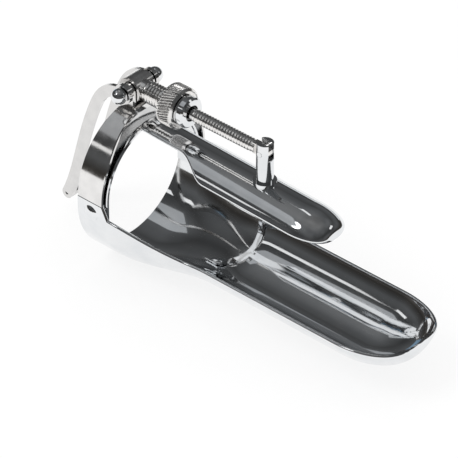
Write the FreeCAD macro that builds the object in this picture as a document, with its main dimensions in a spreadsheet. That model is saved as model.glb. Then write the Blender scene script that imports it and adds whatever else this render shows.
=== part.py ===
import FreeCAD, Part
import math
import os
from FreeCAD import Vector

# Bivalve speculum, in millimetres.
# The origin is the centre of the mouth, on the hinge axis of the two blades.
# +X runs along the blades to their tips, +Y to the left side, +Z from the lower blade to the upper one.

doc = FreeCAD.newDocument("speculum")
sheet = doc.addObject("Spreadsheet::Sheet", "Sizes")

SIZES = {
    # sheet metal
    "sheet_wall": 1.2,
    "running_gap": 0.3,
    "pin_gap": 0.04,
    # mouth band and its two arms
    "mouth_radius": 22.0,
    "mouth_rise": 4.0,
    "band_back": 5.0,
    "band_front": 4.0,
    # lower blade
    "lower_length": 103.0,
    "lower_radius": 17.0,
    "lower_rim_drop": 6.0,
    "lower_waist": 30.0,
    "rim_lead": 4.0,
    "rim_dip": 0.6,
    "rim_step": 1.6,
    "rim_ease": 0.3,
    # upper blade
    "arch_gap": 1.2,
    "arch_half_width": 4.0,
    "arch_rise": 3.0,
    "ear_drop": 4.0,
    "upper_length": 72.0,
    "upper_radius": 10.2,
    "upper_depth": 5.0,
    "upper_droop": 2.0,
    "neck_half_width": 4.6,
    "neck_length": 14.0,
    "neck_flare": 12.0,
    # blade hinge
    "rivet_radius": 1.4,
    "rivet_head_radius": 2.5,
    "rivet_head_height": 1.0,
    "washer_radius": 2.9,
    # bracket and cross axle on top of the mouth band
    "eye_back": 2.0,
    "eye_lift": 5.5,
    "bracket_plate": 1.0,
    "bracket_length": 7.0,
    "lug_inside": 3.4,
    "lug_wall": 1.2,
    "lug_radius": 2.6,
    "axle_radius": 1.3,
    "ball_radius": 2.4,
    # grip bail
    "bail_wall": 1.2,
    "bail_width": 3.6,
    "bail_eye_radius": 3.0,
    "bail_shoulder_back": 7.0,
    "bail_shoulder_drop": 2.4,
    "bail_bend_back": 11.5,
    "bail_bend_drop": 10.0,
    "bail_leg_back": 17.0,
    "bail_leg_drop": 27.0,
    "bail_foot_back": 23.0,
    "bail_foot_drop": 45.0,
    # adjuster
    "tube_radius": 3.0,
    "tube_length": 17.0,
    "rod_radius": 1.75,
    "rod_play": 0.7,
    "rod_inner_end": 6.0,
    "eye_radius": 3.8,
    "nut_radius": 6.25,
    "nut_width": 5.6,
    "nut_overhang": 1.1,
    "nut_hub_radius": 4.3,
    "nut_hub_out": 1.2,
    "edge_chamfer": 0.5,
    "collar_radius": 4.6,
    "collar_width": 2.8,
    # post on the upper blade
    "post_place": 46.0,
    "post_radius": 2.5,
    "post_top": 3.0,
    "tongue_wall": 2.1,
    "tongue_overlap": 1.0,
    "slot_play": 0.1,
    "tongue_radius": 1.9,
    "post_pin_radius": 0.8,
    "foot_radius": 3.4,
    "foot_height": 0.9,
}
for row, (alias, value) in enumerate(SIZES.items(), start=1):
    sheet.set("A%d" % row, alias)
    sheet.set("B%d" % row, str(value))
    sheet.setAlias("B%d" % row, alias)
doc.recompute()


def size(alias):
    """The value of one cell of the sheet."""
    return float(getattr(sheet, alias))


WALL = size("sheet_wall")
GAP = size("running_gap")
PIN_GAP = size("pin_gap")
ACROSS = Vector(0, 1, 0)
ALONG = Vector(1, 0, 0)
UP = Vector(0, 0, 1)
SIDES = {"left": 1, "right": -1}

# Places worked out from the driving sizes
MOUTH_OUT = size("mouth_radius")
MOUTH_IN = MOUTH_OUT - WALL
BAND_TOP = MOUTH_OUT + size("mouth_rise")
ARCH_OUT = MOUTH_IN - size("arch_gap")
ARCH_IN = ARCH_OUT - WALL
ARCH_TOP = ARCH_OUT + size("arch_rise")
EYE_X = -size("eye_back")
EYE_Z = BAND_TOP + size("eye_lift")
POST_X = size("post_place")
BORE = size("rod_radius") + size("rod_play")
LUG_OUT = size("lug_inside") + size("lug_wall")
BAIL_IN = LUG_OUT + GAP
BAIL_OUT = BAIL_IN + size("bail_wall")
BALL_FACE = BAIL_OUT + GAP
TUBE_END = EYE_X + size("tube_length")
COLLAR_X = TUBE_END + size("nut_overhang")
NUT_X = COLLAR_X - size("nut_width")


def feature(label, shape):
    """A sub-part whose shape is worked out here from the sheet's values."""
    item = doc.addObject("Part::Feature", label)
    item.Label = label
    item.Shape = shape.removeSplitter()
    return item


def rod(radius, length, start, axis):
    """A plain round bar from start along axis."""
    return Part.makeCylinder(radius, length, start, axis)


def prism_y(points, low, high):
    """A flat outline in the XZ plane, drawn out from low to high along Y."""
    wire = Part.makePolygon([Vector(x, low, z) for x, z in points + points[:1]])
    return Part.Face(wire).extrude(Vector(0, high - low, 0))


def bend_edge(start, end):
    """A smooth S between two stations (x, radius), level at both ends."""
    curve = Part.BSplineCurve()
    level = Vector(1, 0, 0)
    curve.interpolate(Points=[Vector(*on_plane(start)), Vector(*on_plane(end))],
                      InitialTangent=level, FinalTangent=level)
    return curve.toShape()


def line_edge(start, end):
    """A straight edge between two stations."""
    return Part.LineSegment(Vector(*on_plane(start)), Vector(*on_plane(end))).toShape()


def tip_edge(start, end):
    """An elliptical quarter from a level station down to the tip's station."""
    middle = (start[0] + 0.78 * (end[0] - start[0]), end[1] + 0.62 * (start[1] - end[1]))
    curve = Part.BSplineCurve()
    curve.interpolate(Points=[Vector(*on_plane(p)) for p in (start, middle, end)],
                      InitialTangent=Vector(1, 0, 0), FinalTangent=Vector(0.25, 0, -1))
    return curve.toShape()


def profile(pieces, wall):
    """The edges of a generatrix moved in by wall: each piece is (maker, start, end)."""
    return [maker((a[0], a[1] - wall), (b[0], b[1] - wall)) for maker, a, b in pieces]


def turned_shell(pieces, wall):
    """A thin shell of revolution about the X axis, its outside along the pieces."""
    first = pieces[0][1]
    last = pieces[-1][2]
    edges = profile(pieces, 0)
    edges += profile(pieces, wall)
    edges.append(line_edge((first[0], first[1] - wall), first))
    edges.append(line_edge((last[0], last[1] - wall), last))
    wire = Part.Wire(Part.__sortEdges__(edges))
    return Part.Face(wire).revolve(Vector(0, 0, 0), ALONG, 360)


def on_plane(station):
    """A station (x, radius) as a point of the XZ plane."""
    return station[0], 0, station[1]


def band(outer, rise, back, front, foot):
    """An arched strip: half a ring of radius outer on straight sides, from foot up."""
    inner = outer - WALL
    width = front - back
    middle = Vector(back, 0, rise)
    ring = rod(outer, width, middle, ALONG).cut(rod(inner, width, middle, ALONG))
    upper_half = Part.makeBox(width, 4 * outer, 2 * outer, Vector(back, -2 * outer, rise))
    strip = ring.common(upper_half)
    for side in SIDES.values():
        edge = min(side * inner, side * outer)
        strip = strip.fuse(Part.makeBox(width, WALL, rise - foot, Vector(back, edge, foot)))
    return strip


def hinge_hole(shape, radius):
    """The same shape with one hole through both sides on the hinge axis."""
    reach = 2 * MOUTH_OUT
    return shape.cut(rod(radius, 2 * reach, Vector(0, -reach, 0), ACROSS))


def dome(radius, height, at, axis):
    """A low round head with its flat face at the point given."""
    ball_radius = (radius ** 2 + height ** 2) / (2 * height)
    ball = Part.makeSphere(ball_radius, at - axis * (ball_radius - height))
    return ball.common(rod(radius, height, at, axis))


def make_lower_blade():
    length = size("lower_length")
    radius = size("lower_radius")
    rim = -size("lower_rim_drop")
    waist = size("lower_waist")
    back = -size("band_back")
    front = size("band_front")
    shoulder = (0.82 * length, radius)
    pieces = [
        (line_edge, (back, MOUTH_OUT), (front, MOUTH_OUT)),
        (bend_edge, (front, MOUTH_OUT), (1.25 * waist, radius)),
        (line_edge, (1.25 * waist, radius), shoulder),
        (tip_edge, shoulder, (length, -rim + 1.5 * WALL)),
    ]
    shell = turned_shell(pieces, WALL)
    side_outline = [
        (back, 0),
        (front, 0),
        (front + size("rim_lead"), -size("rim_dip")),
        (0.75 * waist, rim + size("rim_step")),
        (waist, rim + size("rim_ease")),
        (1.3 * waist, rim),
        (length + WALL, rim),
        (length + WALL, -2 * MOUTH_OUT),
        (back, -2 * MOUTH_OUT),
    ]
    blade = shell.common(prism_y(side_outline, -2 * MOUTH_OUT, 2 * MOUTH_OUT))
    for side in SIDES.values():
        edge = min(side * MOUTH_IN, side * MOUTH_OUT)
        blade = blade.fuse(Part.makeBox(front - back, WALL, size("mouth_rise"), Vector(back, edge, 0)))
    return feature("lower_blade", hinge_hole(blade, size("rivet_radius") + PIN_GAP))


def make_arm(side_name):
    side = SIDES[side_name]
    rise = size("mouth_rise")
    whole = band(MOUTH_OUT, rise, -size("band_back"), size("band_front"), rise - WALL)
    reach = 2 * MOUTH_OUT
    low = Vector(-reach, 0 if side > 0 else -reach, rise)
    half = Part.makeBox(2 * reach, reach, reach, low)
    return feature(side_name + "_arm", whole.common(half))


def make_upper_blade():
    radius = size("upper_radius")
    depth = size("upper_depth")
    length = size("upper_length")
    half = size("arch_half_width")
    start = half - WALL
    neck_end = size("band_front") + size("neck_length")
    full = neck_end + size("neck_flare")
    shoulder = (0.85 * length, radius)
    pieces = [
        (line_edge, (start, radius), shoulder),
        (tip_edge, shoulder, (length, radius - depth + 0.6 * WALL)),
    ]
    neck_rim = math.sqrt(radius ** 2 - size("neck_half_width") ** 2)
    outline = [
        (start, neck_rim),
        (neck_end, neck_rim),
        (0.5 * (neck_end + full), 0.6 * neck_rim + 0.4 * (radius - depth)),
        (full, radius - depth),
        (length + WALL, radius - depth),
        (length + WALL, 2 * radius),
        (start, 2 * radius),
    ]
    trough = turned_shell(pieces, WALL).common(prism_y(outline, -2 * radius, 2 * radius))
    trough.translate(Vector(0, 0, ARCH_TOP - radius))
    trough.rotate(Vector(start, 0, ARCH_TOP), ACROSS, size("upper_droop"))
    arch = band(ARCH_OUT, size("arch_rise"), -half, half, -size("ear_drop"))
    arch = hinge_hole(arch, size("rivet_radius") + PIN_GAP)
    blade = arch.fuse(trough)
    tail = rod(size("post_pin_radius") + PIN_GAP, 4 * WALL, Vector(POST_X, 0, blade_top() - 3 * WALL), UP)
    return feature("upper_blade", blade.cut(tail))


def blade_top():
    """The height of the upper blade's back under the post."""
    start = size("arch_half_width") - WALL
    return ARCH_TOP - (POST_X - start) * math.tan(math.radians(size("upper_droop")))


def make_hinge(side_name):
    side = SIDES[side_name]
    axis = ACROSS * side
    shank_start = ARCH_IN
    shank = rod(size("rivet_radius"), MOUTH_OUT - shank_start, axis * shank_start, axis)
    outer = dome(size("rivet_head_radius"), size("rivet_head_height"), axis * MOUTH_OUT, axis)
    inner = dome(size("rivet_head_radius"), size("rivet_head_height"), axis * shank_start, axis * -1)
    feature("hinge_rivet_" + side_name, shank.fuse(outer).fuse(inner))
    room = size("washer_radius")
    mouth_side = math.sqrt(MOUTH_IN ** 2 - room ** 2)
    thick = mouth_side - ARCH_OUT - 2 * PIN_GAP
    start = axis * (ARCH_OUT + PIN_GAP)
    washer = rod(room, thick, start, axis).cut(rod(size("rivet_radius") + PIN_GAP, thick, start, axis))
    return feature("hinge_washer_" + side_name, washer)


def make_bracket():
    plate = size("bracket_plate")
    length = size("bracket_length")
    back = EYE_X - length / 2
    half = LUG_OUT
    bed = Part.makeBox(length, 2 * half, EYE_Z - BAND_TOP, Vector(back, -half, BAND_TOP - 2 * plate))
    bed = bed.common(Part.makeBox(length, 2 * half, 3 * plate, Vector(back, -half, BAND_TOP - 2 * plate)))
    bed = bed.cut(rod(MOUTH_OUT, length, Vector(back, 0, size("mouth_rise")), ALONG))
    bracket = bed
    for side in SIDES.values():
        inside = size("lug_inside")
        low = min(side * inside, side * LUG_OUT)
        web = Part.makeBox(2 * size("lug_radius"), size("lug_wall"), EYE_Z - BAND_TOP,
                           Vector(EYE_X - size("lug_radius"), low, BAND_TOP))
        round_top = rod(size("lug_radius"), size("lug_wall"), Vector(EYE_X, low, EYE_Z), ACROSS)
        bracket = bracket.fuse(web).fuse(round_top)
    hole = rod(size("axle_radius") + PIN_GAP, 4 * half, Vector(EYE_X, -2 * half, EYE_Z), ACROSS)
    return feature("top_bracket", bracket.cut(hole))


def make_axle():
    reach = BALL_FACE + size("ball_radius") / 2
    axle = doc.addObject("Part::Cylinder", "axle")
    axle.Label = "cross_axle"
    axle.setExpression("Radius", "Sizes.axle_radius")
    axle.setExpression("Height", "2 * (Sizes.lug_inside + Sizes.lug_wall + Sizes.bail_wall"
                       " + 2 * Sizes.running_gap + Sizes.ball_radius / 2)")
    turn = FreeCAD.Rotation(UP, ACROSS)
    axle.Placement = FreeCAD.Placement(Vector(EYE_X, -reach, EYE_Z), turn)
    for side_name, side in SIDES.items():
        axis = ACROSS * side
        centre = Vector(EYE_X, 0, EYE_Z) + axis * (BALL_FACE + 0.4 * size("ball_radius"))
        ball = Part.makeSphere(size("ball_radius"), centre)
        face = Vector(EYE_X, 0, EYE_Z) + axis * BALL_FACE
        ball = ball.common(rod(2 * size("ball_radius"), 4 * size("ball_radius"), face, axis))
        depth = reach - BALL_FACE + PIN_GAP
        ball = ball.cut(rod(size("axle_radius") + PIN_GAP, depth, face, axis))
        feature("axle_ball_" + side_name, ball)
    return axle


def bail_line():
    """The middle line of the bail's legs, as (x, z), from the axle down to the cross bar."""
    line = [(EYE_X, EYE_Z)]
    for place in ("shoulder", "bend", "leg", "foot"):
        line.append((EYE_X - size("bail_%s_back" % place), EYE_Z - size("bail_%s_drop" % place)))
    return line


def make_bail():
    half = size("bail_width") / 2
    line = bail_line()
    count = len(line)
    left = []
    right = []
    for i, (x, z) in enumerate(line):
        before = line[max(i - 1, 0)]
        after = line[min(i + 1, count - 1)]
        dx = after[0] - before[0]
        dz = after[1] - before[1]
        span = math.hypot(dx, dz)
        left.append(Vector(x - dz / span * half, 0, z + dx / span * half))
        right.append(Vector(x + dz / span * half, 0, z - dx / span * half))
    edges = []
    for points in (left, right):
        curve = Part.BSplineCurve()
        curve.interpolate(points)
        edges.append(curve.toShape())
    top = Part.LineSegment(left[0], right[0]).toShape()
    foot = Part.LineSegment(left[-1], right[-1]).toShape()
    face = Part.Face(Part.Wire([edges[0], foot, edges[1], top]))
    bail = None
    for side in SIDES.values():
        low = min(side * BAIL_IN, side * BAIL_OUT)
        leg = face.extrude(Vector(0, size("bail_wall"), 0))
        leg.translate(Vector(0, low, 0))
        eye = rod(size("bail_eye_radius"), size("bail_wall"), Vector(EYE_X, low, EYE_Z), ACROSS)
        leg = leg.fuse(eye)
        bail = leg if bail is None else bail.fuse(leg)
    foot_x, foot_z = line[-1]
    bar_length = 2 * BAIL_OUT
    bar = rod(half, bar_length, Vector(foot_x, -BAIL_OUT, foot_z), ACROSS)
    hollow = rod(half - size("bail_wall"), bar_length, Vector(foot_x, -BAIL_OUT, foot_z), ACROSS)
    bail = bail.fuse(bar.cut(hollow))
    hole = rod(size("axle_radius") + PIN_GAP, 4 * BAIL_OUT, Vector(EYE_X, -2 * BAIL_OUT, EYE_Z), ACROSS)
    return feature("grip_bail", bail.cut(hole))


def make_adjuster_tube():
    width = 2 * (size("lug_inside") - GAP)
    eye = rod(size("eye_radius"), width, Vector(EYE_X, -width / 2, EYE_Z), ACROSS)
    tube = rod(size("tube_radius"), size("tube_length"), Vector(EYE_X, 0, EYE_Z), ALONG)
    bore_start = EYE_X + size("axle_radius") + WALL
    bore = rod(BORE, size("tube_length"), Vector(bore_start, 0, EYE_Z), ALONG)
    hole = rod(size("axle_radius") + PIN_GAP, 2 * width, Vector(EYE_X, -width, EYE_Z), ACROSS)
    return feature("adjuster_tube", eye.fuse(tube).cut(bore).cut(hole))


def make_nut():
    width = size("nut_width")
    start = Vector(NUT_X, 0, EYE_Z)
    wheel = rod(size("nut_radius"), width, start, ALONG)
    wheel = wheel.makeChamfer(size("edge_chamfer"), wheel.Edges)
    hub_out = size("nut_hub_out")
    hub = rod(size("nut_hub_radius"), width + hub_out, Vector(NUT_X - hub_out, 0, EYE_Z), ALONG)
    nut = wheel.fuse(hub)
    screwed = rod(size("tube_radius") + PIN_GAP, 3 * width, start - ALONG * width, ALONG)
    feature("knurled_nut", nut.cut(screwed))
    collar = rod(size("collar_radius"), size("collar_width"), Vector(COLLAR_X, 0, EYE_Z), ALONG)
    collar = collar.makeChamfer(size("edge_chamfer"), [collar.Edges[0]])
    collar = collar.cut(rod(BORE, 2 * width, start, ALONG))
    return feature("nut_collar", collar)


def make_adjuster_rod():
    post = size("post_radius")
    start = size("rod_inner_end")
    end = POST_X - post - GAP
    bar = rod(size("rod_radius"), end - start, Vector(start, 0, EYE_Z), ALONG)
    wall = size("tongue_wall")
    height = size("tongue_radius")
    half = 0.9 * height
    overlap = size("tongue_overlap")
    low = Vector(end - overlap, -wall / 2, EYE_Z - half)
    tongue = Part.makeBox(POST_X - end + overlap, wall, 2 * half, low)
    tip = rod(height, wall, Vector(POST_X, -wall / 2, EYE_Z), ACROSS)
    hole = rod(size("post_pin_radius") + PIN_GAP, 4 * wall, Vector(POST_X, -2 * wall, EYE_Z), ACROSS)
    return feature("adjuster_rod", bar.fuse(tongue).fuse(tip).cut(hole))


def make_post():
    base = blade_top() + size("foot_height")
    top = EYE_Z + size("post_top")
    post = rod(size("post_radius"), top - base, Vector(POST_X, 0, base), UP)
    slot_half = size("tongue_wall") / 2 + size("slot_play")
    slot_floor = EYE_Z - size("tongue_radius") - GAP
    across = 4 * size("post_radius")
    deep = across + size("post_top")
    slot = Part.makeBox(across, 2 * slot_half, deep, Vector(POST_X - across / 2, -slot_half, slot_floor))
    hole = rod(size("post_pin_radius") + PIN_GAP, across, Vector(POST_X, -across / 2, EYE_Z), ACROSS)
    feature("fork_post", post.cut(slot).cut(hole))
    deep = 3 * size("foot_height")
    foot = rod(size("foot_radius"), deep, Vector(POST_X, 0, base - deep), UP)
    droop = size("upper_droop")
    start = size("arch_half_width") - WALL
    reach = size("upper_length")
    back = rod(size("upper_radius"), 2 * reach, Vector(-reach / 2, 0, ARCH_TOP - size("upper_radius")), ALONG)
    back.rotate(Vector(start, 0, ARCH_TOP), ACROSS, droop)
    tail_hole = rod(size("post_pin_radius") + PIN_GAP, EYE_Z, Vector(POST_X, 0, 0), UP)
    feature("post_foot", foot.cut(back).cut(tail_hole))
    pin_radius = size("post_pin_radius")
    head_radius = 2 * pin_radius
    inside = size("upper_radius") - WALL
    sag = inside - math.sqrt(inside ** 2 - head_radius ** 2)
    slope = head_radius * math.tan(math.radians(droop))
    head_top = blade_top() - WALL - sag - slope - PIN_GAP
    tail = rod(pin_radius, base - head_top + PIN_GAP, Vector(POST_X, 0, head_top - PIN_GAP), UP)
    head = dome(head_radius, pin_radius, Vector(POST_X, 0, head_top), UP * -1)
    feature("post_rivet", tail.fuse(head))
    length = 2 * size("post_radius")
    pin = doc.addObject("Part::Cylinder", "pin")
    pin.Label = "post_pin"
    pin.setExpression("Radius", "Sizes.post_pin_radius")
    pin.setExpression("Height", "2 * Sizes.post_radius")
    pin.Placement = FreeCAD.Placement(Vector(POST_X, -length / 2, EYE_Z), FreeCAD.Rotation(UP, ACROSS))
    return pin


def make_model():
    make_lower_blade()
    make_upper_blade()
    for side_name in SIDES:
        make_arm(side_name)
        make_hinge(side_name)
    make_bracket()
    make_axle()
    make_bail()
    make_adjuster_tube()
    make_nut()
    make_adjuster_rod()
    make_post()


def write_parts():
    doc.recompute()
    os.makedirs("parts", exist_ok=True)
    for item in doc.Objects:
        if item.State and ("Invalid" in item.State or "Error" in item.State):
            raise RuntimeError("%s did not recompute" % item.Label)
        if item is sheet:
            continue
        if item.Shape.isNull() or not item.Shape.isValid():
            raise RuntimeError("%s has no valid shape" % item.Label)
        item.Shape.exportStep("parts/%s.step" % item.Label)
        box = item.Shape.BoundBox
        print("%-20s solids %d  volume %8.1f  x %6.1f..%6.1f  y %6.1f..%6.1f  z %6.1f..%6.1f" % (
            item.Label, len(item.Shape.Solids), item.Shape.Volume,
            box.XMin, box.XMax, box.YMin, box.YMax, box.ZMin, box.ZMax))


make_model()
write_parts()
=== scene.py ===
import bmesh
import bpy
from math import acos, asin, cos, pi, radians, sin, sqrt
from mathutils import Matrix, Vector


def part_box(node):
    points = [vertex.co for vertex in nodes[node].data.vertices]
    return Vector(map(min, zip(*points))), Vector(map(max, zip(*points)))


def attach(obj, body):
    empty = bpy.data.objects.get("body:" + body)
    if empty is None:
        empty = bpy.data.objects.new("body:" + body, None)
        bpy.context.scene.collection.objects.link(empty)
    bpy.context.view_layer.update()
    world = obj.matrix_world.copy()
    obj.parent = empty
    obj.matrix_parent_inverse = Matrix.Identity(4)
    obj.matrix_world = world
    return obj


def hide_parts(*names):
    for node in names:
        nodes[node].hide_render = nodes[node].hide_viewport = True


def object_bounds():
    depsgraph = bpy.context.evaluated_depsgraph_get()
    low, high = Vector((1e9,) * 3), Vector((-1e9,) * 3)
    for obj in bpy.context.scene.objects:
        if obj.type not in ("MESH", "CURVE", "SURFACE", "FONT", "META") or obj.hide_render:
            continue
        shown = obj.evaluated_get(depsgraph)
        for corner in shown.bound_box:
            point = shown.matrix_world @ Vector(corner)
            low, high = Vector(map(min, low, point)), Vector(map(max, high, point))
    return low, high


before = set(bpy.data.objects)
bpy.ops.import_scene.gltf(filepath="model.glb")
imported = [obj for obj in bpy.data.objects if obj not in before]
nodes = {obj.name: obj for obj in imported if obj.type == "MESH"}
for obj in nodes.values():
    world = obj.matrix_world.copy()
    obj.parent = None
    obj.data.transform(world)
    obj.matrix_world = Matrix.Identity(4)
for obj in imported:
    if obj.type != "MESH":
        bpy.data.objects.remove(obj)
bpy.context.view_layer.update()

# Sizes in metres
MM = 0.001
SMOOTH_ANGLE = radians(28)

# The threads: a ridge's half widths are shares of the pitch
THREAD_PITCH = 1.0 * MM
THREAD_STEPS = 28
THREAD_FOOT = 0.46
THREAD_CREST = 0.10
THREAD_SUNK = 0.04 * MM
TUBE_RADIUS = 3.0 * MM
TUBE_RIDGE = 0.30 * MM
ROD_RIDGE = 0.20 * MM
ROD_BARE_BACK = 0.5 * MM
ROD_BARE_FRONT = 5.2 * MM

# The nut's wheel: the shares are of its radius, of its knurl's length or of one groove
KNURL_COUNT = 46
KNURL_STEPS = 8 * KNURL_COUNT
KNURL_ROWS = 28
KNURL_DEPTH = 0.42 * MM
KNURL_SLANT = 3.2
GROOVE_SLOPE = 2.6
GROOVE_RUN_OUT = 8
NUT_HUB_OUT = 1.2 * MM
NUT_CHAMFER = 0.5 * MM
NUT_BORE = 3.04 * MM
NUT_HUB = 4.3 * MM
NUT_DISH = 0.25 * MM
NUT_DISH_SHARE = 0.86
NUT_FACE_SHARE = 0.9


def middle_of(node):
    """The centre of a node's box."""
    low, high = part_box(node)
    return [(a + b) / 2 for a, b in zip(low, high)]


# The screw's axis is the middle of the nut
NUT_LOW, NUT_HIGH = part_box("knurled_nut")
SCREW_Z = middle_of("knurled_nut")[2]
NUT_RADIUS = (NUT_HIGH[2] - NUT_LOW[2]) / 2


# Materials, with the places of the wear's light and dark in the noise
WEAR_DARK = 0.35
WEAR_LIGHT = 0.62
WEAR_ROUGH = 0.7
WEAR_DETAIL = 4.0
RELIEF_DEPTH = 0.02 * MM


def shader(name):
    """A new material with its shader, its links and a texture coordinate of the object."""
    material = bpy.data.materials.new(name)
    material.use_nodes = True
    tree = material.node_tree
    bsdf = tree.nodes["Principled BSDF"]
    place = tree.nodes.new("ShaderNodeTexCoord")
    return material, tree, bsdf, place.outputs["Object"]


def noise(tree, place, scale, detail):
    """A noise value over the surface."""
    texture = tree.nodes.new("ShaderNodeTexNoise")
    texture.inputs["Scale"].default_value = scale
    texture.inputs["Detail"].default_value = detail
    tree.links.new(place, texture.inputs["Vector"])
    return texture.outputs["Fac"]


def ramp(tree, value, stops):
    """A colour ramp over a value: stops are (position, colour)."""
    node = tree.nodes.new("ShaderNodeValToRGB")
    tree.links.new(value, node.inputs["Fac"])
    marks = node.color_ramp.elements
    while len(marks) < len(stops):
        marks.new(0.5)
    for mark, (position, colour) in zip(marks, stops):
        mark.position = position
        mark.color = colour + (1.0,)
    return node.outputs["Color"]


def grey(level, tint=0.0):
    """A grey, cooler with a positive tint and warmer with a negative one."""
    return (level * (1 - tint), level, level * (1 + tint))


def metal(name, light, dark, rough_low, rough_high, scale, bump=0.0):
    """Steel with a fine wear pattern in colour and roughness, and in relief where bump is given."""
    material, tree, bsdf, place = shader(name)
    bsdf.inputs["Metallic"].default_value = 1.0
    wear = noise(tree, place, scale, WEAR_DETAIL)
    tree.links.new(ramp(tree, wear, [(WEAR_DARK, dark), (WEAR_LIGHT, light)]), bsdf.inputs["Base Color"])
    rough = tree.nodes.new("ShaderNodeMapRange")
    rough.inputs["From Min"].default_value = WEAR_DARK
    rough.inputs["From Max"].default_value = WEAR_ROUGH
    rough.inputs["To Min"].default_value = rough_low
    rough.inputs["To Max"].default_value = rough_high
    tree.links.new(wear, rough.inputs["Value"])
    tree.links.new(rough.outputs["Result"], bsdf.inputs["Roughness"])
    if bump:
        relief = tree.nodes.new("ShaderNodeBump")
        relief.inputs["Strength"].default_value = bump
        relief.inputs["Distance"].default_value = RELIEF_DEPTH
        tree.links.new(noise(tree, place, 4 * scale, WEAR_DETAIL), relief.inputs["Height"])
        tree.links.new(relief.outputs["Normal"], bsdf.inputs["Normal"])
    return material


MIRROR = metal("mirror_steel", grey(0.83, 0.012), grey(0.78, 0.02), 0.035, 0.085, 160.0)
SATIN = metal("satin_steel", grey(0.80, -0.012), grey(0.74, -0.01), 0.07, 0.13, 300.0, 0.1)
STRAP = metal("strap_steel", grey(0.70, -0.012), grey(0.66, -0.01), 0.10, 0.16, 300.0, 0.1)
SCREW = metal("screw_steel", grey(0.84, -0.015), grey(0.74, -0.02), 0.16, 0.24, 420.0, 0.1)
KNURL = metal("knurl_steel", grey(0.86, -0.015), grey(0.76, -0.02), 0.16, 0.24, 420.0, 0.1)

FINISH = {
    "lower_blade": MIRROR,
    "upper_blade": MIRROR,
    "left_arm": SATIN,
    "right_arm": SATIN,
    "top_bracket": SATIN,
    "grip_bail": STRAP,
    "adjuster_tube": SCREW,
    "adjuster_rod": SCREW,
    "knurled_nut": KNURL,
}


def dress_nodes():
    """Gives every node of the frame its finish and smooth shading."""
    for name, node in nodes.items():
        node.data.materials.clear()
        node.data.materials.append(FINISH.get(name, MIRROR))
        node.data.shade_smooth()
        node.data.set_sharp_from_angle(angle=SMOOTH_ANGLE)


# Meshes
def add_mesh(name, points, faces, material, body):
    """A new piece that rides on a body."""
    mesh = bpy.data.meshes.new(name)
    mesh.from_pydata(points, [], faces)
    mesh.update()
    mesh.materials.append(material)
    mesh.shade_smooth()
    mesh.set_sharp_from_angle(angle=SMOOTH_ANGLE)
    piece = bpy.data.objects.new(name, mesh)
    bpy.context.scene.collection.objects.link(piece)
    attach(piece, body)
    return piece


def on_screw(x, radius, angle):
    """A point about the screw's axis."""
    return (x, radius * cos(angle), SCREW_Z + radius * sin(angle))


def thread(name, radius, height, start, end, material, body):
    """A helical ridge on a bar of that radius about the screw's axis, from start to end."""
    turns = (end - start - THREAD_PITCH) / THREAD_PITCH
    steps = int(turns * THREAD_STEPS)
    foot = THREAD_FOOT * THREAD_PITCH
    crest = THREAD_CREST * THREAD_PITCH
    buried = radius - THREAD_SUNK
    top = radius + height
    outline = [(-foot, buried), (-crest, top), (crest, top), (foot, buried)]
    points = []
    faces = []
    for step in range(steps + 1):
        angle = 2 * pi * step / THREAD_STEPS
        middle = start + THREAD_PITCH * (0.5 + step / THREAD_STEPS)
        run_out = min(1.0, step / THREAD_STEPS, (steps - step) / THREAD_STEPS)
        for along, level in outline:
            lifted = buried + (level - buried) * run_out
            points.append(on_screw(middle + along, lifted, angle))
    sides = len(outline)
    for step in range(steps):
        a = step * sides
        b = a + sides
        for side in range(sides):
            following = (side + 1) % sides
            faces.append((a + side, a + following, b + following, b + side))
    faces.append(tuple(range(sides)))
    faces.append(tuple(reversed(range(steps * sides, (steps + 1) * sides))))
    add_mesh(name, points, faces, material, body)


def wheel_profile(low, high):
    """The wheel's section from its bore round to its bore, as (place, radius, share of a groove's depth)."""
    dish_radius = NUT_DISH_SHARE * NUT_RADIUS
    face_radius = NUT_FACE_SHARE * NUT_RADIUS
    profile = [
        (NUT_LOW[0], NUT_BORE, 0),
        (NUT_LOW[0], NUT_HUB, 0),
        (low + NUT_DISH, NUT_HUB, 0),
        (low + NUT_DISH, dish_radius, 0),
        (low, face_radius, 0),
    ]
    start = low + NUT_CHAMFER
    length = high - low - 2 * NUT_CHAMFER
    for row in range(KNURL_ROWS + 1):
        share = row / KNURL_ROWS
        cut = min(1.0, GROOVE_RUN_OUT * share, GROOVE_RUN_OUT * (1 - share))
        profile.append((start + share * length, NUT_RADIUS, cut))
    profile += [
        (high, face_radius, 0),
        (high - NUT_DISH, dish_radius, 0),
        (high - NUT_DISH, NUT_BORE, 0),
    ]
    return profile


def add_nut_wheel():
    """The nut with slanted grooves on its rim, its hub and its bore."""
    low = NUT_LOW[0] + NUT_HUB_OUT
    profile = wheel_profile(low, NUT_HIGH[0])
    lead = 2 * pi * NUT_RADIUS / KNURL_COUNT
    points = []
    for x, radius, cut in profile:
        rise = (x - low) / (KNURL_SLANT * lead)
        for step in range(KNURL_STEPS):
            angle = 2 * pi * step / KNURL_STEPS
            turn = KNURL_COUNT * angle / (2 * pi)
            groove = abs((turn + rise) % 1.0 - 0.5)
            depth = KNURL_DEPTH * cut * max(0.0, 1 - GROOVE_SLOPE * groove)
            points.append(on_screw(x, radius - depth, angle))
    faces = []
    for ring in range(len(profile)):
        here = ring * KNURL_STEPS
        there = (ring + 1) % len(profile) * KNURL_STEPS
        for step in range(KNURL_STEPS):
            beside = (step + 1) % KNURL_STEPS
            faces.append((here + step, here + beside, there + beside, there + step))
    wheel = add_mesh("nut_wheel", points, faces, KNURL, "nut")
    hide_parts("knurled_nut")


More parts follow.
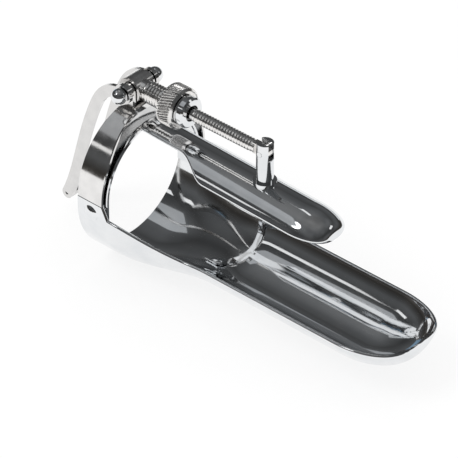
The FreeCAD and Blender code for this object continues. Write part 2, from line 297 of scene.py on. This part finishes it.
def add_threads():
    """The ridges on the tube and on the rod, on the lengths that show."""
    tube_low, tube_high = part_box("adjuster_tube")
    eye_front = tube_low[0] + (tube_high[2] - tube_low[2])
    thread("tube_thread", TUBE_RADIUS, TUBE_RIDGE, eye_front, NUT_LOW[0], SCREW, "tube")
    rod_low, rod_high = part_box("adjuster_rod")
    rod_radius = (rod_high[1] - rod_low[1]) / 2
    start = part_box("nut_collar")[1][0] + ROD_BARE_BACK
    thread("rod_thread", rod_radius, ROD_RIDGE, start, rod_high[0] - ROD_BARE_FRONT, SCREW, "rod")


# Sheet metal
WALL = 1.2 * MM
RIM_STEPS = 8
ARC_STEPS = 56
STATION_STEP = 0.9 * MM
ARCH_STEPS = 96
LEG_STEPS = 6
BAND_BEVEL = 0.25 * MM
LOWER_LOW, LOWER_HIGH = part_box("lower_blade")
MOUTH_RADIUS = LOWER_HIGH[1]
MOUTH_RISE = LOWER_HIGH[2]
BAND_BACK = LOWER_LOW[0]
BAND_FRONT = 4.0 * MM
BAND_BLEND = 2.0 * MM
ARM_TOP_FRONT = 1.2 * MM
ARM_NARROWS = (0.35, 0.9)
LOWER_RADIUS = 17.0 * MM
LOWER_RIM = -6.0 * MM
LOWER_RIM_START = 33.0 * MM
LOWER_WAIST = 37.5 * MM
LOWER_SHOULDER = 0.82 * LOWER_HIGH[0]
LOWER_TIP_RADIUS = 6.75 * MM
LOWER_TIP_STEPS = 26
UPPER_LOW, UPPER_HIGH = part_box("upper_blade")
ARCH_RADIUS = UPPER_HIGH[1]
ARCH_TOP = UPPER_HIGH[2]
ARCH_HALF = 4.0 * MM
UPPER_RADIUS = 10.2 * MM
UPPER_LENGTH = 72.0 * MM
UPPER_SHOULDER = 0.85 * UPPER_LENGTH
UPPER_TIP_RADIUS = 5.4 * MM
UPPER_TIP_STEPS = 22
UPPER_RIM = 5.2 * MM
UPPER_DROOP = radians(2)
NECK_HALF = 4.6 * MM
NECK_END = 18.0 * MM
NECK_FLARED = 30.0 * MM


def ease(value, start, end):
    """0 before start, 1 after end, and a smooth rise between them."""
    share = min(1.0, max(0.0, (value - start) / (end - start)))
    return share * share * (3 - 2 * share)


def spread(marks, step):
    """Stations from the first mark to the last, each mark among them, about step apart."""
    stations = [marks[0]]
    for start, end in zip(marks, marks[1:]):
        count = max(1, round((end - start) / step))
        stations += [start + (end - start) * i / count for i in range(1, count + 1)]
    return stations


def towards_tip(shoulder, tip, steps):
    """Stations from behind the shoulder to the tip, closer and closer."""
    return [shoulder + (tip - shoulder) * sin(pi / 2 * i / steps) for i in range(1, steps + 1)]


def rounded(value, shoulder, tip, full, small):
    """The radius at a station: full up to the shoulder, then an elliptical quarter down to small."""
    if value <= shoulder:
        return full
    share = min(1.0, (value - shoulder) / (tip - shoulder))
    return small + (full - small) * sqrt(max(0.0, 1 - share * share))


def skin(name, loops, material, body):
    """A closed piece over loops of the same number of points."""
    count = len(loops[0])
    points = [point for loop in loops for point in loop]
    faces = []
    for i in range(len(loops) - 1):
        for j in range(count):
            k = (j + 1) % count
            faces.append((i * count + j, i * count + k, (i + 1) * count + k, (i + 1) * count + j))
    half = count // 2
    for first in (0, (len(loops) - 1) * count):
        for j in range(half - 1):
            quad = (first + j, first + j + 1, first + count - 2 - j, first + count - 1 - j)
            faces.append(quad if first else tuple(reversed(quad)))
    piece = add_mesh(name, points, faces, material, body)
    piece.data.validate()
    return piece


def sheet_loop(outline, wall):
    """A loop round a bent sheet: outline is a list of (point, outward normal) in its section plane."""
    outer = [point for point, normal in outline]
    inner = [(p[0] - wall * n[0], p[1] - wall * n[1]) for p, n in outline]
    loop = list(outer)
    loop += rim_turn(outline[-1], outline[-2], wall)
    loop += list(reversed(inner))
    loop += list(reversed(rim_turn(outline[0], outline[1], wall)))
    return loop


def rim_turn(edge, beside, wall):
    """The half round that closes the sheet's edge, from the outer side to the inner one."""
    point, normal = edge
    along = (point[0] - beside[0][0], point[1] - beside[0][1])
    length = sqrt(along[0] ** 2 + along[1] ** 2)
    along = (along[0] / length, along[1] / length)
    middle = (point[0] - wall / 2 * normal[0], point[1] - wall / 2 * normal[1])
    turn = []
    for step in range(1, RIM_STEPS):
        angle = pi * step / RIM_STEPS
        out = wall / 2 * cos(angle)
        on = wall / 2 * sin(angle)
        turn.append(tuple(m + out * n + on * a for m, n, a in zip(middle, normal, along)))
    return turn


def lower_section(x):
    """The lower blade's outer line at a station, from the right rim to the left one."""
    waist = ease(x, BAND_FRONT, LOWER_WAIST)
    radius = MOUTH_RADIUS + (LOWER_RADIUS - MOUTH_RADIUS) * waist
    if x > LOWER_SHOULDER:
        radius = rounded(x, LOWER_SHOULDER, LOWER_HIGH[0], LOWER_RADIUS, LOWER_TIP_RADIUS)
    risen = 1 - ease(x, BAND_FRONT, BAND_FRONT + BAND_BLEND)
    rim = LOWER_RIM * ease(x, BAND_FRONT, LOWER_RIM_START) + MOUTH_RISE * risen
    inset = WALL / 2
    reach = acos(min(1.0, max(0.0, (inset - rim) / radius)))
    straight = max(0.0, rim - inset)
    length = radius * reach + straight
    outline = []
    for step in range(-ARC_STEPS, ARC_STEPS + 1):
        side = -1 if step < 0 else 1
        run = abs(step) / ARC_STEPS * length
        angle = min(run / radius, reach)
        above = max(0.0, run - radius * reach)
        point = (side * radius * sin(angle), -radius * cos(angle) + above)
        outline.append((point, (side * sin(angle), -cos(angle))))
    return outline


def add_lower_blade():
    """The lower trough as one smooth sheet with rounded rims."""
    loops = []
    marks = [BAND_BACK, BAND_FRONT, BAND_FRONT + BAND_BLEND, LOWER_WAIST, LOWER_SHOULDER]
    stations = spread(marks, STATION_STEP)
    stations += towards_tip(LOWER_SHOULDER, LOWER_HIGH[0], LOWER_TIP_STEPS)
    for x in stations:
        loops.append([(x, y, z) for y, z in sheet_loop(lower_section(x), WALL)])
    blade = skin("lower_trough", loops, MIRROR, "base")
    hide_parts("lower_blade")


def upper_section(x):
    """The upper blade's outer line at a station, about its own axis."""
    radius = rounded(x, UPPER_SHOULDER, UPPER_LENGTH, UPPER_RADIUS, UPPER_TIP_RADIUS)
    full = sqrt(max(0.0, radius ** 2 - UPPER_RIM ** 2))
    half = NECK_HALF + (full - NECK_HALF) * ease(x, NECK_END, NECK_FLARED)
    if x > UPPER_SHOULDER:
        half = full
    reach = asin(min(1.0, half / radius)) - WALL / 2 / radius
    outline = []
    for step in range(-ARC_STEPS // 2, ARC_STEPS // 2 + 1):
        angle = 2 * step / ARC_STEPS * reach
        outline.append(((radius * sin(angle), radius * cos(angle)), (sin(angle), cos(angle))))
    return outline


def add_upper_blade():
    """The upper blade's trough with its neck, and the arch that carries it."""
    start = ARCH_HALF - WALL
    axis = ARCH_TOP - UPPER_RADIUS
    loops = []
    stations = spread([start, NECK_END, NECK_FLARED, UPPER_SHOULDER], STATION_STEP)
    stations += towards_tip(UPPER_SHOULDER, UPPER_LENGTH, UPPER_TIP_STEPS)
    for x in stations:
        loop = []
        for y, z in sheet_loop(upper_section(x), WALL):
            ahead = x - start
            down = z + axis - ARCH_TOP
            loop.append((start + ahead * cos(UPPER_DROOP) + down * sin(UPPER_DROOP), y,
                         ARCH_TOP - ahead * sin(UPPER_DROOP) + down * cos(UPPER_DROOP)))
        loops.append(loop)
    blade = skin("upper_trough", loops, MIRROR, "upper")
    path = arch_path(ARCH_RADIUS, ARCH_TOP - ARCH_RADIUS, UPPER_LOW[2], 180)
    add_band("upper_arch", path, lambda share: (-ARCH_HALF, ARCH_HALF), MIRROR, "upper")
    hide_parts("upper_blade")


def arch_path(radius, rise, foot, sweep):
    """Points and normals of an arch seen along X, from its right foot up and over by sweep degrees."""
    path = []
    for step in range(LEG_STEPS + 1):
        path.append(((-radius, foot + (rise - foot) * step / LEG_STEPS), (-1, 0)))
    count = int(ARCH_STEPS * sweep / 180)
    for step in range(1, count + 1):
        angle = radians(sweep) * step / count
        path.append(((-radius * cos(angle), rise + radius * sin(angle)), (-cos(angle), sin(angle))))
    if sweep > 90:
        for step in range(1, LEG_STEPS + 1):
            path.append(((radius, rise + (foot - rise) * step / LEG_STEPS), (1, 0)))
    return path


def add_band(name, path, width, material, body, mirrored=1):
    """A strip with softened edges along a path: width gives its back and front by the share of the path."""
    bevel = BAND_BEVEL
    loops = []
    for i, (point, normal) in enumerate(path):
        back, front = width(i / (len(path) - 1))
        section = [(back + bevel, 0), (front - bevel, 0), (front, bevel), (front, WALL - bevel),
                   (front - bevel, WALL), (back + bevel, WALL), (back, WALL - bevel), (back, bevel)]
        loops.append([(x, mirrored * (point[0] - deep * normal[0]), point[1] - deep * normal[1])
                      for x, deep in section])
    return skin(name, loops, material, body)


def add_arms():
    """The two arms of the mouth band, which narrow towards the bracket."""
    def width(share):
        """The arm's back and front at a share of its path."""
        return BAND_BACK, BAND_FRONT - (BAND_FRONT - ARM_TOP_FRONT) * ease(share, *ARM_NARROWS)
    path = arch_path(MOUTH_RADIUS, MOUTH_RISE, MOUTH_RISE, 90)
    for name, side in (("right_arm", 1), ("left_arm", -1)):
        arm = add_band(name + "_strip", path, width, SATIN, "base", side)
        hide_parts(name)


# Stage
FLOOR_GAP = 0.1 * MM
TARGET = Vector((0.0327, 0.0, -0.0016))
TO_CAMERA = Vector((0.537, -0.5997, 0.5937)).normalized()
CAMERA_LENS = 300
CAMERA_REACH = 1.074
TENT_RADIUS = 0.8
CARD_REACH = 0.6
TENT_BY_HEIGHT = [
    (0.0, grey(0.10, -0.06)),
    (0.12, grey(0.045, -0.08)),
    (0.35, grey(0.10, 0.03)),
    (0.60, grey(0.065, 0.02)),
    (0.85, grey(0.16, 0.03)),
    (1.0, grey(0.22, 0.0)),
]


def blank_material(name):
    """A new material with its tree and nothing but its output."""
    material = bpy.data.materials.new(name)
    material.use_nodes = True
    tree = material.node_tree
    tree.nodes.clear()
    return material, tree, tree.nodes.new("ShaderNodeOutputMaterial")


def add_floor():
    """A pale floor that keeps a soft shadow."""
    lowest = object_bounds()[0][2]
    bpy.ops.mesh.primitive_plane_add(size=6.0, location=(0, 0, lowest - FLOOR_GAP))
    floor = bpy.context.object
    floor.name = "floor"
    material, tree, out = blank_material("floor_white")
    mix = tree.nodes.new("ShaderNodeMixShader")
    mix.inputs["Fac"].default_value = 0.7
    soft = tree.nodes.new("ShaderNodeBsdfDiffuse")
    soft.inputs["Color"].default_value = (0.93, 0.93, 0.93, 1)
    glow = tree.nodes.new("ShaderNodeEmission")
    glow.inputs["Color"].default_value = (1, 1, 1, 1)
    glow.inputs["Strength"].default_value = 1.04
    tree.links.new(soft.outputs[0], mix.inputs[1])
    tree.links.new(glow.outputs[0], mix.inputs[2])
    tree.links.new(mix.outputs[0], out.inputs["Surface"])
    floor.data.materials.append(material)


def hide_from_all_but_metal(card):
    """The card or the tent shows in reflections only."""
    card.visible_camera = False
    card.visible_diffuse = False
    card.visible_shadow = False
    card.visible_transmission = False


def glowing(name):
    """A new material of plain emission, with its tree and its emission node."""
    material, tree, out = blank_material(name)
    glow = tree.nodes.new("ShaderNodeEmission")
    tree.links.new(glow.outputs[0], out.inputs["Surface"])
    return material, tree, glow


def add_dark_tent():
    """A dark half sphere over the object, lightest at its top, with soft patches."""
    bpy.ops.mesh.primitive_uv_sphere_add(segments=64, ring_count=32, radius=TENT_RADIUS)
    tent = bpy.context.object
    tent.name = "dark_tent"
    mesh = tent.data
    work = bmesh.new()
    work.from_mesh(mesh)
    lower_half = [v for v in work.verts if v.co.z < -MM]
    bmesh.ops.delete(work, geom=lower_half, context="VERTS")
    work.to_mesh(mesh)
    work.free()
    material, tree, glow = glowing("tent_grey")
    place = tree.nodes.new("ShaderNodeTexCoord").outputs["Object"]
    parts = tree.nodes.new("ShaderNodeSeparateXYZ")
    tree.links.new(place, parts.inputs[0])
    height = tree.nodes.new("ShaderNodeMapRange")
    height.inputs["From Max"].default_value = TENT_RADIUS
    tree.links.new(parts.outputs["Z"], height.inputs["Value"])
    shade = ramp(tree, height.outputs[0], TENT_BY_HEIGHT)
    patches = ramp(tree, noise(tree, place, 2.3, 1.0), [(0.36, grey(0.62)), (0.64, grey(1.0))])
    both = tree.nodes.new("ShaderNodeMix")
    both.data_type = "RGBA"
    both.blend_type = "MULTIPLY"
    both.inputs["Factor"].default_value = 1.0
    tree.links.new(shade, both.inputs["A"])
    tree.links.new(patches, both.inputs["B"])
    tree.links.new(both.outputs["Result"], glow.inputs["Color"])
    mesh.materials.append(material)
    mesh.shade_smooth()
    hide_from_all_but_metal(tent)


def add_card(name, direction, width, height, level, tint=0.0, roll=0.0):
    """A plain card inside the tent that faces the object."""
    bpy.ops.mesh.primitive_plane_add(size=1.0)
    card = bpy.context.object
    card.name = name
    away = Vector(direction).normalized()
    card.location = TARGET + away * CARD_REACH
    card.rotation_euler = away.to_track_quat("Z", "Y").to_euler()
    card.rotation_euler.rotate_axis("Z", roll)
    card.scale = (width, height, 1)
    material, tree, glow = glowing(name + "_light")
    place = tree.nodes.new("ShaderNodeTexCoord").outputs["Generated"]
    stops = [(0.3, grey(0.85 * level, tint)), (0.7, grey(level, tint))]
    tree.links.new(ramp(tree, noise(tree, place, 1.5, 1.0), stops), glow.inputs["Color"])
    card.data.materials.append(material)
    hide_from_all_but_metal(card)


def add_cards():
    """The windows of light and the pale and blue walls in the dark tent."""
    add_card("wall_pale", (-0.54, -0.26, 0.80), 0.50, 0.15, 0.42, 0.03)
    add_card("window_low", (-0.56, -0.62, 0.55), 0.15, 0.045, 1.0, 0.0, radians(6))
    add_card("window_far", (-0.50, 0.86, 0.10), 0.70, 0.06, 0.9, 0.03)
    add_card("window_high", (-0.30, 0.28, 0.92), 0.05, 0.16, 1.0, 0.0, radians(25))
    add_card("window_side", (0.55, 0.50, 0.62), 0.16, 0.09, 1.0)
    add_card("blue_wall", (-0.86, 0.30, 0.20), 0.22, 0.10, 0.30, 0.35)


def add_world():
    """White surroundings, a little weaker for what they light than for what is seen."""
    world = bpy.data.worlds.new("surroundings")
    bpy.context.scene.world = world
    world.use_nodes = True
    tree = world.node_tree
    background = tree.nodes["Background"]
    paths = tree.nodes.new("ShaderNodeLightPath")
    seen = tree.nodes.new("ShaderNodeMath")
    seen.operation = "MAXIMUM"
    tree.links.new(paths.outputs["Is Camera Ray"], seen.inputs[0])
    tree.links.new(paths.outputs["Is Glossy Ray"], seen.inputs[1])
    both = tree.nodes.new("ShaderNodeMath")
    both.operation = "MAXIMUM"
    tree.links.new(seen.outputs[0], both.inputs[0])
    tree.links.new(paths.outputs["Is Transmission Ray"], both.inputs[1])
    strength = tree.nodes.new("ShaderNodeMapRange")
    strength.inputs["To Min"].default_value = 0.92
    strength.inputs["To Max"].default_value = 1.0
    tree.links.new(both.outputs[0], strength.inputs["Value"])
    background.inputs["Color"].default_value = (1, 1, 1, 1)
    tree.links.new(strength.outputs["Result"], background.inputs["Strength"])


def add_lamp(name, direction, distance, extent, power):
    """A soft square lamp that faces the object."""
    lamp = bpy.data.lights.new(name, "AREA")
    lamp.shape = "SQUARE"
    lamp.size = extent
    lamp.energy = power
    holder = bpy.data.objects.new(name, lamp)
    away = Vector(direction).normalized()
    holder.location = TARGET + away * distance
    holder.rotation_euler = away.to_track_quat("Z", "Y").to_euler()
    bpy.context.scene.collection.objects.link(holder)


def add_camera():
    """The camera at the photograph's angle."""
    data = bpy.data.cameras.new("camera")
    data.lens = CAMERA_LENS
    data.sensor_width = 36
    data.clip_start = 0.01
    camera = bpy.data.objects.new("camera", data)
    camera.location = TARGET + TO_CAMERA * CAMERA_REACH
    camera.rotation_euler = TO_CAMERA.to_track_quat("Z", "Y").to_euler()
    bpy.context.scene.collection.objects.link(camera)
    bpy.context.scene.camera = camera


dress_nodes()
add_lower_blade()
add_upper_blade()
add_arms()
add_threads()
add_nut_wheel()
add_floor()
add_dark_tent()
add_cards()
add_world()
add_lamp("key", (-0.3, -0.6, 0.9), 0.8, 0.35, 1.2)
add_camera()
bpy.context.scene.view_settings.view_transform = "Standard"
